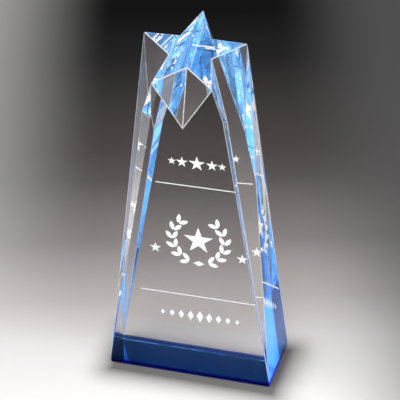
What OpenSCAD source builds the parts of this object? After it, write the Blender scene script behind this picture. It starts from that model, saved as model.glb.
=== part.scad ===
// Star tower award: a clear acrylic block whose sloping top face is a
// five-pointed star, cemented onto a thin sheet of blue acrylic. The back face
// carries a shallow engraving that is filled with white paint.
// Units are millimetres and +Z is up. The origin is at the centre of the
// underside. The front face looks along -Y and the engraved back along +Y.

/* [Base] */
// Width of the base, left to right
base_w = 101.6; // [96:0.2:110]
// Depth of the base and of the tower, front to back
base_d = 45.5; // [43:0.5:50]
// Thickness of the blue sheet
sheet_t = 3.2; // [2:0.1:6]
// Thickness of the cement film between the sheet and the tower
cement_t = 0.1; // [0.05:0.05:0.3]

/* [Star top] */
// Height of the two lower star tips, on the front face
front_h = 201.6; // [190:0.2:215]
// Rise of the star face from front to back, in degrees
star_slope = 29.6; // [24:0.2:34]
// Side arm tips, distance from the centre plane
arm_x = 30.7; // [29:0.1:32]
// Side arm tips, distance behind the front face
arm_y = 28.9; // [27:0.1:31]
// Lower star tips, distance from the centre plane
leg_x = 17.8; // [16.5:0.1:19]
// Notches between arm and lower tip, distance from the centre plane
side_notch_x = 12.6; // [11.5:0.1:13.5]
// Notches between arm and lower tip, distance behind the front face
side_notch_y = 17.6; // [16.5:0.1:19]
// Notches beside the top tip, distance from the centre plane
upper_notch_x = 9.2; // [8:0.1:10.5]
// Notches beside the top tip, distance behind the front face
upper_notch_y = 29.3; // [28:0.1:31]
// Front notch, distance behind the front face
front_notch_y = 11.1; // [9:0.1:12.5]
// Height at which the front groove runs out in the front face
groove_h = 174.6; // [168:0.2:182]

/* [Side grooves] */
// Height of the knee in each front edge
front_knee_h = 182.3; // [176:0.2:188]
// Half width of the front face at that height
front_knee_x = 24; // [22.5:0.1:25]
// Height at which each side valley turns steep
side_valley_h = 173.3; // [168:0.2:178]
// Distance of that turn from the centre plane
side_valley_x = 21.8; // [20.5:0.1:22.5]
// Distance of that turn behind the front face
side_valley_y = 15.7; // [14:0.1:16.5]

/* [Rear grooves] */
// Height of the knee in each edge of the back face
rear_knee_h = 162.6; // [155:0.2:170]
// Half width of the back face at that height
rear_knee_x = 20.3; // [19:0.1:21]
// Height at which each rear valley turns steep
rear_valley_h = 158; // [152:0.2:164]
// Distance of that turn from the centre plane
rear_valley_x = 24.3; // [23:0.1:26]
// Distance of that turn in front of the back face
rear_valley_y = 7.8; // [5:0.1:9]

/* [Engraving] */
// Depth of the engraving, which the white fill brings back to the surface
engrave_t = 0.4; // [0.2:0.1:0.8]
// Width of the two engraved rules
rule_w = 0.5; // [0.4:0.1:1]
// Height of the upper rule
upper_rule_z = 120; // [116:0.5:124]
// Half length of the upper rule
upper_rule_x = 26; // [18:0.5:27]
// Height of the lower rule
lower_rule_z = 41; // [38:0.5:44]
// Half length of the lower rule
lower_rule_x = 38; // [28:0.5:40]
// Height of the middle of the row of stars at the top
crest_z = 136; // [133:0.5:138]
// Tip radius of the largest star in that row
crest_r = 5; // [4:0.1:5.5]
// Height of the wreath's centre
wreath_z = 82; // [79:0.5:84]
// Radius of the circle that the wreath's leaves follow
wreath_r = 16.5; // [16:0.1:17.5]
// Pairs of leaves on each side of the wreath
leaf_pairs = 6; // [4:1:6]
// Tip radius of the star inside the wreath
centre_star_r = 9.5; // [7:0.1:10]
// Height of the row of lozenges at the bottom
lozenge_z = 26; // [23:0.5:29]

/* [Hidden] */

clear_tint = [0.86, 0.93, 0.98, 0.45];
blue_tint = [0.05, 0.35, 0.9];
film_tint = [0.8, 0.9, 1, 0.4];
white_tint = [0.96, 0.96, 0.95];

half_w = base_w / 2;
half_d = base_d / 2;
foot_z = sheet_t + cement_t;   // the tower's own underside
overcut = 0.2;                 // how far a cutting tool passes the surface
inner_ratio = sin(18) / sin(54);   // inner over outer radius of a regular star

// ---- Tower ----------------------------------------------------------------

// A corner of the star face, y being the distance behind the front face.
function on_star(x, y) = [x, y - half_d, front_h + y * tan(star_slope)];
function mirrored(p) = [0 - p.x, p.y, p.z];

top_tip = on_star(0, base_d);
upper_notch = on_star(upper_notch_x, upper_notch_y);
arm_tip = on_star(arm_x, arm_y);
side_notch = on_star(side_notch_x, side_notch_y);
leg_tip = on_star(leg_x, 0);
front_notch = on_star(0, front_notch_y);
star_centre = on_star(0, (side_notch_y + upper_notch_y) / 2);
groove_foot = [0, -half_d, groove_h];
front_corner = [half_w, -half_d, foot_z];
back_corner = [half_w, half_d, foot_z];
front_knee = [front_knee_x, -half_d, front_knee_h];
side_valley = [side_valley_x, side_valley_y - half_d, side_valley_h];
rear_knee = [rear_knee_x, half_d, rear_knee_h];
rear_valley = [rear_valley_x, half_d - rear_valley_y, rear_valley_h];

// A fan from one point to a chain of points. Every chain runs clockwise round
// its point as seen from outside, so all the triangles do too.
function fan(hub, chain) = [
  for (i = [0:len(chain) - 2]) [hub, chain[i], chain[i + 1]]
];

function reversed(list) = [for (i = [len(list) - 1:-1:0]) list[i]];

right_half = concat(
  fan(side_valley, [front_corner, front_knee, leg_tip, side_notch, arm_tip, front_corner]),
  [[front_corner, arm_tip, back_corner]],
  fan(rear_valley, [back_corner, arm_tip, upper_notch, top_tip, rear_knee, back_corner]),
  fan(star_centre, [top_tip, upper_notch, arm_tip, side_notch, leg_tip, front_notch]),
  [[front_notch, leg_tip, groove_foot]]
);
left_half = [for (tri = right_half) [for (p = reversed(tri)) mirrored(p)]];
front_face = fan(
  groove_foot,
  [
    leg_tip, front_knee, front_corner,
    mirrored(front_corner), mirrored(front_knee), mirrored(leg_tip)
  ]
);
back_face = fan(
  top_tip,
  [mirrored(rear_knee), mirrored(back_corner), back_corner, rear_knee]
);
underside = fan(
  mirrored(front_corner),
  [front_corner, back_corner, mirrored(back_corner)]
);
tower_faces = concat(right_half, left_half, front_face, back_face, underside);

module tower_block() {
  polyhedron(
    points = [for (tri = tower_faces) each tri],
    faces = [for (i = [0:len(tower_faces) - 1]) [3 * i, 3 * i + 1, 3 * i + 2]]
  );
}

module clear_tower() {
  color(clear_tint)
    difference() {
      tower_block();
      into_back(overcut) {
        upper_rule_2d();
        lower_rule_2d();
        crest_2d();
        wreath_side_2d(1);
        wreath_side_2d(-1);
        wreath_tie_2d();
        centre_star_2d();
        flank_stars_2d();
        lozenge_row_2d();
      }
    }
}

// ---- Base -----------------------------------------------------------------

module base_layer(z, thickness) {
  translate([-half_w, -half_d, z])
    cube([base_w, base_d, thickness]);
}

module blue_sheet() {
  color(blue_tint)
    base_layer(0, sheet_t);
}

module cement_film() {
  color(film_tint)
    base_layer(sheet_t, cement_t);
}

// ---- Engraving, drawn as outlines in x and z ---------------------------------

// Gives an outline the depth of the engraving, measured in from the back face.
module into_back(proud = 0) {
  translate([0, half_d + proud, 0])
    rotate([90, 0, 0])
      linear_extrude(engrave_t + proud)
        children();
}

module fill() {
  color(white_tint)
    into_back()
      children();
}

module star_2d(r) {
  polygon([
    for (i = [0:9])
      let (reach = i % 2 == 0 ? r : r * inner_ratio)
      reach * [sin(36 * i), cos(36 * i)]
  ]);
}

module lozenge_2d(w, h) {
  polygon([[0, h / 2], [w / 2, 0], [0, -h / 2], [-w / 2, 0]]);
}

// A leaf with a point at each end, lying along x from the origin.
module leaf_2d(length, width) {
  arc_r = (pow(length, 2) / 4 + pow(width, 2) / 4) / width;
  translate([length / 2, 0])
    intersection() {
      translate([0, arc_r - width / 2]) circle(arc_r, $fn = 96);
      translate([0, width / 2 - arc_r]) circle(arc_r, $fn = 96);
    }
}

module upper_rule_2d() {
  translate([-upper_rule_x, upper_rule_z - rule_w / 2])
    square([2 * upper_rule_x, rule_w]);
}

module lower_rule_2d() {
  translate([-lower_rule_x, lower_rule_z - rule_w / 2])
    square([2 * lower_rule_x, rule_w]);
}

// Five stars that get smaller away from the middle one.
module crest_2d() {
  shrink = 0.72;
  for (i = [-2:2])
    translate([sign(i) * (i * i == 4 ? 3.1 : 1.85) * crest_r, crest_z])
      star_2d(crest_r * pow(shrink, abs(i)));
}

// One side of the wreath: s is 1 on the right and -1 on the left.
module wreath_side_2d(s) {
  first_angle = -70;
  sweep = 132;
  leaf_length = 0.98 * wreath_r * sweep / leaf_pairs * PI / 180;
  leaf_width = 0.44 * leaf_length;
  leaf_splay = 32;
  stalk_gap = 0.55;
  translate([0, wreath_z])
    mirror([s < 0 ? 1 : 0, 0])
      for (i = [0:leaf_pairs - 1])
        rotate(first_angle + i * sweep / leaf_pairs)
          translate([wreath_r, 0])
            for (splay = [-leaf_splay, leaf_splay])
              rotate(90 + splay)
                translate([stalk_gap, 0])
                  leaf_2d(leaf_length, leaf_width);
}

module wreath_tie_2d() {
  translate([0, wreath_z - wreath_r])
    lozenge_2d(7, 3.6);
}

module centre_star_2d() {
  translate([0, wreath_z])
    star_2d(centre_star_r);
}

module flank_stars_2d() {
  for (s = [-1, 1])
    translate([s * 27.5, wreath_z - 9])
      star_2d(3.6);
}

// Nine lozenges that get smaller towards the ends of the row.
module lozenge_row_2d() {
  for (i = [-4:4])
    translate([6 * i, lozenge_z])
      lozenge_2d(4.6 - 0.5 * abs(i), 8.4 - 1.2 * abs(i));
}

module upper_rule() { fill() upper_rule_2d(); }
module lower_rule() { fill() lower_rule_2d(); }
module crest_stars() { fill() crest_2d(); }
module wreath_left() { fill() wreath_side_2d(-1); }
module wreath_right() { fill() wreath_side_2d(1); }
module wreath_tie() { fill() wreath_tie_2d(); }
module centre_star() { fill() centre_star_2d(); }
module flank_stars() { fill() flank_stars_2d(); }
module lozenge_row() { fill() lozenge_row_2d(); }

clear_tower();
blue_sheet();
cement_film();
upper_rule();
lower_rule();
crest_stars();
wreath_left();
wreath_right();
wreath_tie();
centre_star();
flank_stars();
lozenge_row();
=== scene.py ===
"""Looks of the star tower award: polished clear acrylic on a blue sheet, engraved and painted white."""

import math

import bmesh
import bpy
from mathutils import Matrix, Vector


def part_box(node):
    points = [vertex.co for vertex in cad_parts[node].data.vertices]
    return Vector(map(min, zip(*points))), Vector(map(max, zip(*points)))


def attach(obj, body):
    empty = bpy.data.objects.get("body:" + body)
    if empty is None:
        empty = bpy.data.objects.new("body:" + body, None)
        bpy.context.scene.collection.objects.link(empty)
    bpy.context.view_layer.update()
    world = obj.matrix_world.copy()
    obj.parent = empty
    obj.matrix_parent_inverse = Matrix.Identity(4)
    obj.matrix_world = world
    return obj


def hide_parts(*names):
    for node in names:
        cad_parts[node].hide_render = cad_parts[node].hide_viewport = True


MM = 0.001
UP = Vector((0, 0, 1))
DOWN = Vector((0, 0, -1))
BACKWARD = Vector((0, 1, 0))

# Optics of the acrylic
ACRYLIC_IOR = 1.53
HEAD_ON_REFLECTION = 0.1            # share of real acrylic's, which would haze the front
BLUE_PASSED = (0.0, 0.57, 0.985)    # share of red, green and blue that the sheet lets through
BLUE_DENSITY = 215.0                # absorption per metre
LIGHT_BOUNCES = 32                  # light meets many facets before it leaves the block

# Roughness of the clearest and of the dullest spots
CLEAR_POLISH = (0.0, 0.02)
ENGRAVED_POLISH = (0.0, 0.03)
GROUND_EDGE = (0.2, 0.4)
FOIL = (0.07, 0.17)

# Paint in the engraving
PAINTED_GLOW = 0.32                   # painted glow: light the paint gives off though it is no lamp, which keeps it white behind the block
PAINT_GREYS = (0.88, 0.97)          # darkest and lightest of its grain
PAINT_LEVEL = 0.03 * MM             # how far the glass stays inside the paint's outer face

# Shape details too fine for the CAD model
EDGE_WIDTH = 0.35 * MM              # ground edges of the tower
SHEET_EDGE = 0.3 * MM               # eased edges of the blue sheet, all but the upper ones
BOND_GAP = 0.02 * MM                # air between tower and sheet, which the bonded faces hide
ROUNDING = 2                        # segments of every eased edge

# What tells the regions of a CAD mesh apart
WELD = 0.001 * MM                   # corners closer than this are one
ON_PLANE = 0.01 * MM                # a corner this close to a plane lies in it
FOOT_BAND = 0.1 * MM                # a corner this low belongs to the foot
BACK_BAND = 1.0 * MM                # the back face and its engraving go no deeper than this
FLAT_ANGLE = math.radians(0.6)      # faces that turn less than this are one facet
SHARP_ANGLE = math.radians(8)       # edges that turn more than this are eased
FACING = 0.99                       # part of a unit normal that has to lie along a direction

# The photograph's view: angles in degrees, azimuth from straight in front towards the right
VIEW_AZIMUTH = 16.96
VIEW_ELEVATION = 32.01
VIEW_ROLL = -1.27
VIEW_TARGET = Vector((3.24, -2.43, 115.0)) * MM
VIEW_DISTANCE = 1098 * MM
LENS_MM = 166.7
SENSOR_MM = 36

# The floor, in metres: a pool of light painted into its colour towards the camera, which fades with
# distance
FLOOR_HALF = 4.0
FLOOR_HEIGHT = -0.02 * MM           # just clear of the sheet's underside
POOL_AHEAD = 0.1                    # of the pool's middle, from the award towards the camera
POOL_STRETCH = 4.0                  # width of the pool over its depth
POOL_REACH = 0.6
POOL_TONES = (                      # share of the reach, and the floor's colour there
    (0.1, (0.8, 0.79, 0.78)),
    (0.195, (0.7, 0.67, 0.66)),
    (0.27, (0.45, 0.42, 0.41)),
    (0.385, (0.21, 0.19, 0.19)),
    (0.52, (0.085, 0.075, 0.075)),
    (0.59, (0.06, 0.05, 0.05)),
    (0.83, (0.015, 0.0145, 0.0145)),
    (0.97, (0.006, 0.006, 0.006)),
)

# Painted light and shade on the sides of the floor, lighter on the left and darker on the right:
# where each begins and is full, from the view's middle line to the right,
# how strong it gets, and its colour
FLOOR_SIDE_LIGHT_AND_SHADE = (
    ((-0.068, -0.2), 0.35, (0.86, 0.85, 0.84, 1)),
    ((0.068, 0.16), 0.75, (0.08, 0.08, 0.08, 1)),
)

# Painted contact shadow on the floor round the base, drawn as a dark rim
SHADOW_SHIFT = (3 * MM, -6 * MM, 0)    # the painted shadow's middle: a little to the right and to the front
SHADOW_REACH = 24 * MM
SHADOW_FALLOFF = 2.0
SHADOW_STRENGTH = 0.8
BLACK = (0, 0, 0, 1)

# Soft panels of the room: azimuth, elevation, half width and soft margin in degrees, strength
PANELS = (
    (0, 15, 55, 35, 1.1),           # in front, low and wide
    (180, 65, 8, 10, 1.2),          # high at the back
    (-20, 31, 20, 14, 2.0),         # in front on the left
    (80, 40, 20, 20, 1.2),          # right
    (-82, 45, 20, 12, 1.6),         # left
    (202, 40, 16, 14, 0.06),        # faint, at the back: makes the sheet's front a little bluer
)
ROOM_LIGHT = 0.025                  # between the panels

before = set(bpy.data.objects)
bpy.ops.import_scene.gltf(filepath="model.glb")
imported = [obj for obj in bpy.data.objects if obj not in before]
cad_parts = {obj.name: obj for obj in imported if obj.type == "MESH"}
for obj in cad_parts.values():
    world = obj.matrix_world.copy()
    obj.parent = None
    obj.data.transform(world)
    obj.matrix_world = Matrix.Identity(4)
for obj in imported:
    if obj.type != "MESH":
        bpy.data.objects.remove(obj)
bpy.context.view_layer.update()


def direction(azimuth, elevation):
    """Unit vector from the award: azimuth runs from straight in front towards the right."""
    a = math.radians(azimuth)
    e = math.radians(elevation)
    return Vector((math.sin(a) * math.cos(e), -math.cos(a) * math.cos(e), math.sin(e)))


# ---- Node helpers ---------------------------------------------------------


def new_material(name):
    """A material with an empty node tree, and that tree."""
    material = bpy.data.materials.new(name)
    material.use_nodes = True
    material.node_tree.nodes.clear()
    return material, material.node_tree


def add(tree, kind, inputs=None, **settings):
    """A new node with its settings, and each input given a value or linked to an output."""
    node = tree.nodes.new("ShaderNode" + kind)
    for name, value in settings.items():
        setattr(node, name, value)
    for key, value in (inputs or {}).items():
        if isinstance(value, bpy.types.NodeSocket):
            tree.links.new(value, node.inputs[key])
        else:
            node.inputs[key].default_value = value
    return node


def combine(tree, operation, first, second):
    """Two numbers added, multiplied or the like."""
    return add(tree, "Math", {0: first, 1: second}, operation=operation).outputs[0]


def combine_vectors(tree, operation, first, second=(0, 0, 0)):
    """Two vectors combined; a length or a dot product comes out as a number."""
    node = add(tree, "VectorMath", {0: first, 1: second}, operation=operation)
    is_number = operation in ("LENGTH", "DOT_PRODUCT")
    return node.outputs["Value" if is_number else "Vector"]


def remap(tree, value, source, target=(0.0, 1.0), interpolation="LINEAR"):
    """Carries the source range over to the target range, and holds it at both ends."""
    node = add(tree, "MapRange", {
        "Value": value,
        "From Min": source[0],
        "From Max": source[1],
        "To Min": target[0],
        "To Max": target[1],
    }, interpolation_type=interpolation)
    return node.outputs["Result"]


def ramp(tree, value, stops):
    """A colour that follows a value through the stops, each a position and a colour."""
    node = add(tree, "ValToRGB", {"Fac": value})
    elements = node.color_ramp.elements
    while len(elements) < len(stops):
        elements.new(0.5)
    for element, (position, colour) in zip(elements, stops):
        element.position = position
        element.color = (*colour, 1)
    return node.outputs["Color"]


def blend(tree, share, first, second):
    """The first colour where share is 0, the second where it is 1."""
    # Sockets 0, 6, 7 and output 2 are those that the node uses for colours
    return add(tree, "Mix", {0: share, 6: first, 7: second}, data_type="RGBA").outputs[2]


def surface(tree, shader, volume=None):
    """Connects a shader, and what fills the body if anything does, to the material's output."""
    inputs = {"Surface": shader.outputs[0]}
    if volume:
        inputs["Volume"] = volume
    add(tree, "OutputMaterial", inputs)


# ---- Materials ------------------------------------------------------------


def polish(tree, roughness):
    """Roughness of a hand-worked face, in fine upright streaks between its two limits."""
    position = add(tree, "TexCoord").outputs["Object"]
    stretched = add(tree, "Mapping", {"Vector": position, "Scale": (1.0, 1.0, 0.12)})
    streaks = add(tree, "TexNoise", {
        "Vector": stretched.outputs[0],
        "Scale": 220.0,
        "Detail": 3.0,
    })
    return remap(tree, streaks.outputs["Fac"], (0.35, 0.75), roughness)


def blue_volume(tree):
    """The sheet's blue, which deepens with the length of the way through it."""
    return add(tree, "VolumeAbsorption", {
        "Color": (*BLUE_PASSED, 1),
        "Density": BLUE_DENSITY,
    }).outputs[0]


def acrylic(name, roughness=CLEAR_POLISH, absorbs=False):
    """Polished acrylic: clear, or blue all through where it absorbs."""
    material, tree = new_material(name)
    shader = add(tree, "BsdfPrincipled", {
        "Base Color": (1, 1, 1, 1),
        "Roughness": polish(tree, roughness),
        "IOR": ACRYLIC_IOR,
        "Specular Tint": (HEAD_ON_REFLECTION,) * 3 + (1,),
        "Transmission Weight": 1.0,
    })
    surface(tree, shader, blue_volume(tree) if absorbs else None)
    return material


def bonded(name, absorbs=False):
    """A face glued to another of the same acrylic, where light passes straight on."""
    material, tree = new_material(name)
    shader = add(tree, "BsdfTransparent", {"Color": (1, 1, 1, 1)})
    surface(tree, shader, blue_volume(tree) if absorbs else None)
    return material


def rough_foil():
    """The sheet's underside: a reflecting foil that blurs what it mirrors."""
    material, tree = new_material("base_foil")
    shader = add(tree, "BsdfPrincipled", {
        "Base Color": (0.95, 0.95, 0.95, 1),
        "Metallic": 1.0,
        "Roughness": polish(tree, FOIL),
    })
    surface(tree, shader, blue_volume(tree))
    return material


def polished_edge():
    """A fine ground edge, which scatters light and so reads as a bright line."""
    material, tree = new_material("polished_edge")
    shader = add(tree, "BsdfPrincipled", {
        "Base Color": (1, 1, 1, 1),
        "Roughness": polish(tree, GROUND_EDGE),
        "IOR": ACRYLIC_IOR,
        "Transmission Weight": 0.6,
    })
    surface(tree, shader)
    return material


def white_paint():
    """Matt white paint with a fine grain, as brushed into the engraving."""
    material, tree = new_material("white_paint")
    position = add(tree, "TexCoord").outputs["Object"]
    grain = add(tree, "TexNoise", {"Vector": position, "Scale": 2600.0, "Detail": 3.0})
    bump = add(tree, "Bump", {
        "Height": grain.outputs["Fac"],
        "Strength": 0.25,
        "Distance": 0.1 * MM,
    })
    darker, lighter = PAINT_GREYS
    shader = add(tree, "BsdfPrincipled", {
        "Base Color": ramp(tree, grain.outputs["Fac"], [(0.3, (darker,) * 3), (0.7, (lighter,) * 3)]),
        "Roughness": 0.6,
        "Normal": bump.outputs["Normal"],
        # painted glow: the paint gives off light of its own though it is no lamp
        "Emission Color": (1, 1, 1, 1),
        "Emission Strength": PAINTED_GLOW,
    })
    surface(tree, shader)
    return material


# ---- Pieces ---------------------------------------------------------------


def welded_copy(node):
    """The mesh of a CAD node with its doubled corners joined."""
    mesh = bmesh.new()
    mesh.from_mesh(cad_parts[node].data)
    bmesh.ops.remove_doubles(mesh, verts=mesh.verts, dist=WELD)
    return mesh


def merge_flat_faces(mesh):
    """Joins neighbouring triangles that lie in one plane into whole facets."""
    bmesh.ops.dissolve_limit(mesh, angle_limit=FLAT_ANGLE, verts=mesh.verts, edges=mesh.edges)


def bevel_edges(mesh, keep_below, material_index):
    """Grinds every sharp edge that doesn't lie wholly below keep_below.

    Where many edges meet, the bevel can overshoot the corner, so it is held inside the mesh's box.
    """
    corners = [vertex.co.copy() for vertex in mesh.verts]
    sharp = [
        edge for edge in mesh.edges
        if edge.is_manifold
        and edge.calc_face_angle() > SHARP_ANGLE
        and max(vertex.co.z for vertex in edge.verts) > keep_below
    ]
    bmesh.ops.bevel(
        mesh, geom=sharp, offset=EDGE_WIDTH, offset_type="OFFSET", segments=ROUNDING,
        profile=0.5, affect="EDGES", clamp_overlap=True, material=material_index,
        loop_slide=True,
    )
    for axis in range(3):
        low = min(corner[axis] for corner in corners)
        high = max(corner[axis] for corner in corners)
        for vertex in mesh.verts:
            vertex.co[axis] = min(max(vertex.co[axis], low), high)


def set_material(mesh, towards, material_index):
    """Gives a material to the faces that look in one direction."""
    for face in mesh.faces:
        if face.normal.dot(towards) > FACING:
            face.material_index = material_index


def finish_piece(mesh, name, materials, replaced):
    """Turns a bmesh into a piece that rides on the root body in place of CAD nodes."""
    data = bpy.data.meshes.new(name)
    mesh.to_mesh(data)
    mesh.free()
    for material in materials:
        data.materials.append(material)
    piece = bpy.data.objects.new(name, data)
    bpy.context.scene.collection.objects.link(piece)
    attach(piece, "root")
    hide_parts(*replaced)


def crystal_tower():
    """The tower with its engraving closed, since the paint solids fill it."""
    ground, glued, engraved = 1, 2, 3   # places in the list of materials below
    low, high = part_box("clear_tower")
    mesh = welded_copy("clear_tower")
    back = [
        face for face in mesh.faces
        if min(vertex.co.y for vertex in face.verts) > high.y - BACK_BAND
    ]
    bmesh.ops.delete(mesh, geom=back, context="FACES")
    rim = [edge for edge in mesh.edges if edge.is_boundary]
    bmesh.ops.contextual_create(mesh, geom=rim)
    merge_flat_faces(mesh)
    for vertex in mesh.verts:
        if vertex.co.y > high.y - ON_PLANE:
            vertex.co.y -= PAINT_LEVEL
    bmesh.ops.recalc_face_normals(mesh, faces=mesh.faces)
    bevel_edges(mesh, low.z + FOOT_BAND, ground)
    set_material(mesh, DOWN, glued)
    set_material(mesh, BACKWARD, engraved)
    materials = [
        acrylic("clear_acrylic"),
        polished_edge(),
        bonded("bonded_face"),
        acrylic("engraved_face", ENGRAVED_POLISH),
    ]
    replaced = ["clear_tower", "cement_film"]
    finish_piece(mesh, "crystal_tower", materials, replaced)


def blue_base():
    """The blue sheet with its foil, brought up through the cement to just below the tower."""
    glued, foil = 1, 2                  # places in the list of materials below
    low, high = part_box("blue_sheet")
    tower_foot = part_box("clear_tower")[0].z
    mesh = welded_copy("blue_sheet")
    merge_flat_faces(mesh)
    for vertex in mesh.verts:
        if vertex.co.z > high.z - ON_PLANE:
            vertex.co.z = tower_foot - BOND_GAP
    bmesh.ops.recalc_face_normals(mesh, faces=mesh.faces)
    eased = [
        edge for edge in mesh.edges
        if min(vertex.co.z for vertex in edge.verts) < low.z + FOOT_BAND
    ]
    bmesh.ops.bevel(
        mesh, geom=eased, offset=SHEET_EDGE, segments=ROUNDING, profile=0.5, affect="EDGES"
    )
    set_material(mesh, UP, glued)
    set_material(mesh, DOWN, foil)
    materials = [
        acrylic("blue_acrylic", absorbs=True),
        bonded("bonded_blue_face", absorbs=True),
        rough_foil(),
    ]
    finish_piece(mesh, "blue_base", materials, ["blue_sheet"])


def painted_engraving():
    """Paints the CAD solids that fill the engraving: all but the block, the sheet and the cement."""
    paint = white_paint()
    for name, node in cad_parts.items():
        if name not in ("clear_tower", "blue_sheet", "cement_film"):
            node.data.materials.clear()
            node.data.materials.append(paint)


# ---- Stage ----------------------------------------------------------------


def contact_shade(tree, position):
    """How much painted shadow darkens the floor beside the base: most where they meet, none past the
    reach.
    """
    half_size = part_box("blue_sheet")[1]
    # The limit of 1 m upwards leaves the floor's own height out of the distance
    limits = (half_size.x, half_size.y, 1)
    centred = combine_vectors(tree, "SUBTRACT", position, SHADOW_SHIFT)
    folded = combine_vectors(tree, "ABSOLUTE", centred)
    past = combine_vectors(tree, "SUBTRACT", folded, limits)
    outside = combine_vectors(tree, "MAXIMUM", past, (0, 0, 0))
    distance = combine_vectors(tree, "LENGTH", outside)
    near = remap(tree, distance, (0.0, SHADOW_REACH), (1.0, 0.0))
    falloff = combine(tree, "POWER", near, SHADOW_FALLOFF)
    return combine(tree, "MULTIPLY", falloff, SHADOW_STRENGTH)


def studio_floor():
    """A matt floor painted with a pool of light, lighter and darker sides and a shadow round the base.
    """
    material, tree = new_material("studio_floor")
    position = add(tree, "NewGeometry").outputs["Position"]
    pool = add(tree, "Mapping", {
        "Vector": position,
        "Location": direction(VIEW_AZIMUTH, 0) * POOL_AHEAD,
        "Rotation": (0, 0, math.radians(VIEW_AZIMUTH)),
        "Scale": (POOL_STRETCH, 1.0, 1.0),
    }, vector_type="TEXTURE").outputs[0]
    distance = combine_vectors(tree, "LENGTH", pool)
    # painted pool of light: the floor's colour fades from pale to dark with distance
    tone = ramp(tree, remap(tree, distance, (0.0, POOL_REACH)), POOL_TONES)
    sideways = add(tree, "SeparateXYZ", {"Vector": pool}).outputs["X"]
    # painted light on the left side of the floor and painted shade on the right
    for places, strength, colour in FLOOR_SIDE_LIGHT_AND_SHADE:
        source = [place / POOL_STRETCH for place in places]
        share = remap(tree, sideways, source, (0.0, strength), "SMOOTHSTEP")
        tone = blend(tree, share, tone, colour)
    # painted contact shadow: the floor's colour goes towards black round the base
    tone = blend(tree, contact_shade(tree, position), tone, BLACK)
    surface(tree, add(tree, "BsdfDiffuse", {"Color": tone}))
    return material


def floor():
    """A square of floor under the award."""
    data = bpy.data.meshes.new("floor")
    corners = [
        (x * FLOOR_HALF, y * FLOOR_HALF, FLOOR_HEIGHT)
        for x, y in ((-1, -1), (1, -1), (1, 1), (-1, 1))
    ]
    data.from_pydata(corners, [], [(0, 1, 2, 3)])
    data.materials.append(studio_floor())
    obj = bpy.data.objects.new("floor", data)
    bpy.context.scene.collection.objects.link(obj)


def studio_world():
    """A dim room with soft bright panels."""
    world = bpy.data.worlds.new("studio")
    world.use_nodes = True
    bpy.context.scene.world = world
    tree = world.node_tree
    tree.nodes.clear()
    outwards = add(tree, "TexCoord").outputs["Generated"]
    light = ROOM_LIGHT
    for azimuth, elevation, half_width, margin, strength in PANELS:
        middle = direction(azimuth, elevation)
        closeness = combine_vectors(tree, "DOT_PRODUCT", outwards, middle)
        limits = [math.cos(math.radians(angle)) for angle in (half_width + margin, half_width)]
        panel = remap(tree, closeness, limits, (0.0, strength), "SMOOTHSTEP")
        light = combine(tree, "ADD", light, panel)
    background = add(tree, "Background", {"Color": (1, 1, 1, 1), "Strength": light})
    add(tree, "OutputWorld", {"Surface": background.outputs[0]})


def camera():
    """A long lens at the photograph's angle, rolled a little."""
    roll = math.radians(VIEW_ROLL)
    back = direction(VIEW_AZIMUTH, VIEW_ELEVATION)
    level = direction(VIEW_AZIMUTH + 90, 0)
    rise = back.cross(level)
    right = level * math.cos(roll) + rise * math.sin(roll)
    up = rise * math.cos(roll) - level * math.sin(roll)
    turn = Matrix((right, up, back)).transposed().to_4x4()
    data = bpy.data.cameras.new("camera")
    data.sensor_width = SENSOR_MM
    data.lens = LENS_MM
    obj = bpy.data.objects.new("camera", data)
    obj.matrix_world = Matrix.Translation(VIEW_TARGET + back * VIEW_DISTANCE) @ turn
    bpy.context.scene.collection.objects.link(obj)
    bpy.context.scene.camera = obj


crystal_tower()
blue_base()
painted_engraving()
floor()
studio_world()
camera()

scene = bpy.context.scene
scene.view_settings.view_transform = "Standard"
for kind in ("max", "transmission", "transparent_max", "glossy"):
    setattr(scene.cycles, kind + "_bounces", LIGHT_BOUNCES)
